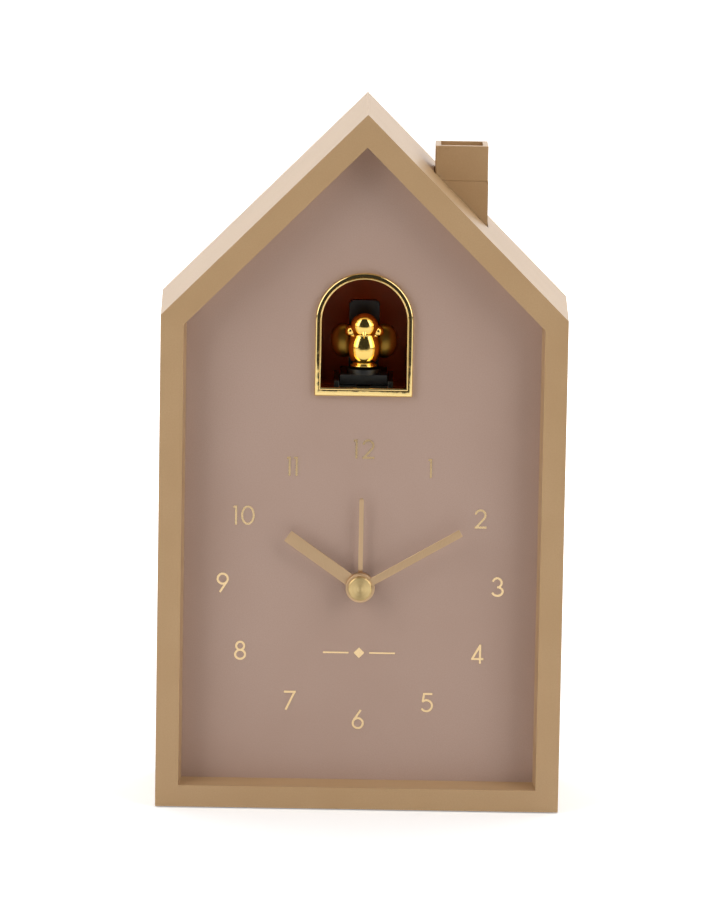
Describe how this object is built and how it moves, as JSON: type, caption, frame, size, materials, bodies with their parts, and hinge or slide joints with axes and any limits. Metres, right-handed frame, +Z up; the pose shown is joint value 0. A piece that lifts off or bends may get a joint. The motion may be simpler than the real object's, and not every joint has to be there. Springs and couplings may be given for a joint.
{
  "type": "cuckoo clock",
  "caption": "House-shaped cuckoo alarm clock: recessed dial with hour, minute and alarm hands, an arched window a gilt bird slides out of, and a chimney snooze button.",
  "frame": {"origin": "bottom centre of the whole clock, on the surface it stands on, half way through its depth", "axes": "+Z up, -Y out of the dial to the front, +X to the right as seen from the front"},
  "size_m": [0.1272, 0.055, 0.2183],
  "materials": {
    "tan_abs": "fine satin texture, moulded",
    "dial_card": "matt lacquered dusty pink",
    "gold_print": "pale gold screen print",
    "gold_plated": "polished gold plating on ABS",
    "brushed_gold": "satin brushed brass",
    "chamber_abs": "dark brown moulded ABS",
    "black_abs": "black moulded ABS",
    "acetal": "natural acetal",
    "wheel_brass": "stamped brass",
    "steel": "drawn and turned steel",
    "spring_steel": "bright nickel-plated spring wire and strip",
    "copper_wire": "enamelled copper winding",
    "circuit_board": "solder mask on glass laminate",
    "cell_jacket": "plain printed jacket",
    "cone_paper": "pressed paper",
    "foot_rubber": "matt rubber"
  },
  "bodies": {
    "house": {"house_shell": "tan_abs", "back_cover": "tan_abs", "dial_plate": "dial_card", "dial_numerals": "gold_print", "dial_ornament": "gold_print", "window_frame": "gold_plated", "cuckoo_chamber": "chamber_abs", "guide_rail": "black_abs", "movement_front": "black_abs", "movement_rear": "black_abs", "battery_box": "black_abs", "home_switch": "black_abs", "snooze_switch": "black_abs", "speaker_frame": "black_abs", "drive_bracket": "acetal", "movement_plate": "acetal", "stator": "steel", "bird_motor": "steel", "cover_screws": "steel", "switch_bodies": "steel", "snooze_spring": "spring_steel", "contact_springs": "spring_steel", "contact_plates": "spring_steel", "step_coil": "copper_wire", "movement_board": "circuit_board", "snooze_board": "circuit_board", "sound_board": "circuit_board", "battery_cells": "cell_jacket", "speaker_cone": "cone_paper", "rubber_feet": "foot_rubber"},
    "minute_set": {"minute_hand": "brushed_gold", "hand_cap": "brushed_gold", "minute_arbor": "steel"},
    "hour_set": {"hour_hand": "brushed_gold", "hour_wheel": "wheel_brass"},
    "motion_set": {"motion_wheel": "acetal"},
    "time_set": {"time_knob": "black_abs"},
    "alarm_set": {"alarm_hand": "brushed_gold", "alarm_wheel": "acetal"},
    "alarm_stem_set": {"alarm_knob": "black_abs"},
    "rotor_set": {"step_rotor": "steel"},
    "step_set": {"step_wheel": "acetal"},
    "seconds_set": {"seconds_wheel": "wheel_brass"},
    "third_set": {"third_wheel": "wheel_brass"},
    "centre_set": {"centre_wheel": "wheel_brass"},
    "bird": {"bird_carriage": "black_abs", "bird_body": "gold_plated", "bird_wings": "gold_plated", "bird_plinth": "black_abs"},
    "drive_set": {"drive_pinion": "acetal"},
    "idler_set": {"idler_gear": "acetal"},
    "motor_set": {"motor_pinion": "steel"},
    "chimney": {"chimney_stack": "tan_abs", "chimney_pot": "tan_abs"},
    "alarm_switch": {"alarm_slider": "acetal"},
    "sound_switch": {"sound_slider": "acetal"},
    "door": {"battery_door": "tan_abs"}
  },
  "joints": [
    {"name": "minute_hand_turn", "type": "hinge", "parent": "house", "child": "minute_set", "pos_m": [0, 0, 0.0695], "axis": [0, 1, 0], "continuous": true},
    {"name": "hour_hand_turn", "type": "hinge", "parent": "house", "child": "hour_set", "pos_m": [0, 0, 0.0695], "axis": [0, 1, 0], "continuous": true},
    {"name": "motion_wheel_turn", "type": "hinge", "parent": "house", "child": "motion_set", "pos_m": [0.00837, 0, 0.06467], "axis": [0, 1, 0], "continuous": true},
    {"name": "time_knob_turn", "type": "hinge", "parent": "house", "child": "time_set", "pos_m": [0.01673, 0, 0.05984], "axis": [0, 1, 0], "continuous": true},
    {"name": "alarm_hand_turn", "type": "hinge", "parent": "house", "child": "alarm_set", "pos_m": [0, 0, 0.0695], "axis": [0, 1, 0], "continuous": true},
    {"name": "alarm_knob_turn", "type": "hinge", "parent": "house", "child": "alarm_stem_set", "pos_m": [-0.00908, 0, 0.05984], "axis": [0, 1, 0], "continuous": true},
    {"name": "rotor_turn", "type": "hinge", "parent": "house", "child": "rotor_set", "pos_m": [0.01481, 0, 0.07472], "axis": [0, 1, 0], "continuous": true},
    {"name": "step_wheel_turn", "type": "hinge", "parent": "house", "child": "step_set", "pos_m": [0.01198, 0, 0.07962], "axis": [0, 1, 0], "continuous": true},
    {"name": "seconds_wheel_turn", "type": "hinge", "parent": "house", "child": "seconds_set", "pos_m": [0.00629, 0, 0.08169], "axis": [0, 1, 0], "continuous": true},
    {"name": "third_wheel_turn", "type": "hinge", "parent": "house", "child": "third_set", "pos_m": [0, 0, 0.07806], "axis": [0, 1, 0], "continuous": true},
    {"name": "centre_wheel_turn", "type": "hinge", "parent": "house", "child": "centre_set", "pos_m": [0, 0, 0.0695], "axis": [0, 1, 0], "continuous": true},
    {"name": "bird_slide", "type": "slide", "parent": "house", "child": "bird", "axis": [0, -1, 0], "range_m": [0, 0.014]},
    {"name": "drive_pinion_turn", "type": "hinge", "parent": "house", "child": "drive_set", "pos_m": [0, 0.001, 0.12024], "axis": [1, 0, 0], "range_deg": [0, 194.99]},
    {"name": "idler_gear_turn", "type": "hinge", "parent": "house", "child": "idler_set", "pos_m": [0, 0.00591, 0.11323], "axis": [1, 0, 0], "range_deg": [-466.37, 0]},
    {"name": "motor_turn", "type": "hinge", "parent": "house", "child": "motor_set", "pos_m": [0, 0.00894, 0.1049], "axis": [1, 0, 0], "range_deg": [0, 1570.44]},
    {"name": "chimney_press", "type": "slide", "parent": "house", "child": "chimney", "axis": [0, 0, -1], "range_m": [0, 0.002], "stiffness_N_per_m": 400, "springref_m": -0.002, "deforming": ["snooze_spring"]},
    {"name": "alarm_slider_slide", "type": "slide", "parent": "house", "child": "alarm_switch", "axis": [1, 0, 0], "range_m": [0, 0.002]},
    {"name": "sound_slider_slide", "type": "slide", "parent": "house", "child": "sound_switch", "axis": [1, 0, 0], "range_m": [0, 0.002]},
    {"name": "battery_door_off", "type": "slide", "parent": "house", "child": "door", "axis": [0, 1, 0], "range_m": [0, 0.02]}
  ],
  "couplings": [
    {"joint": "hour_hand_turn", "follows": "minute_hand_turn", "ratio": 0.083333},
    {"joint": "motion_wheel_turn", "follows": "minute_hand_turn", "ratio": -0.33333},
    {"joint": "time_knob_turn", "follows": "minute_hand_turn", "ratio": 1},
    {"joint": "alarm_knob_turn", "follows": "alarm_hand_turn", "ratio": -4.5},
    {"joint": "step_wheel_turn", "follows": "rotor_turn", "ratio": -0.16667},
    {"joint": "seconds_wheel_turn", "follows": "rotor_turn", "ratio": 0.033333},
    {"joint": "third_wheel_turn", "follows": "rotor_turn", "ratio": -0.0041667},
    {"joint": "centre_wheel_turn", "follows": "rotor_turn", "ratio": 0.00055556},
    {"joint": "drive_pinion_turn", "follows": "bird_slide", "rad_per_m": 238.1},
    {"joint": "idler_gear_turn", "follows": "bird_slide", "rad_per_m": -571.43},
    {"joint": "motor_turn", "follows": "bird_slide", "rad_per_m": 1942.9}
  ]
}
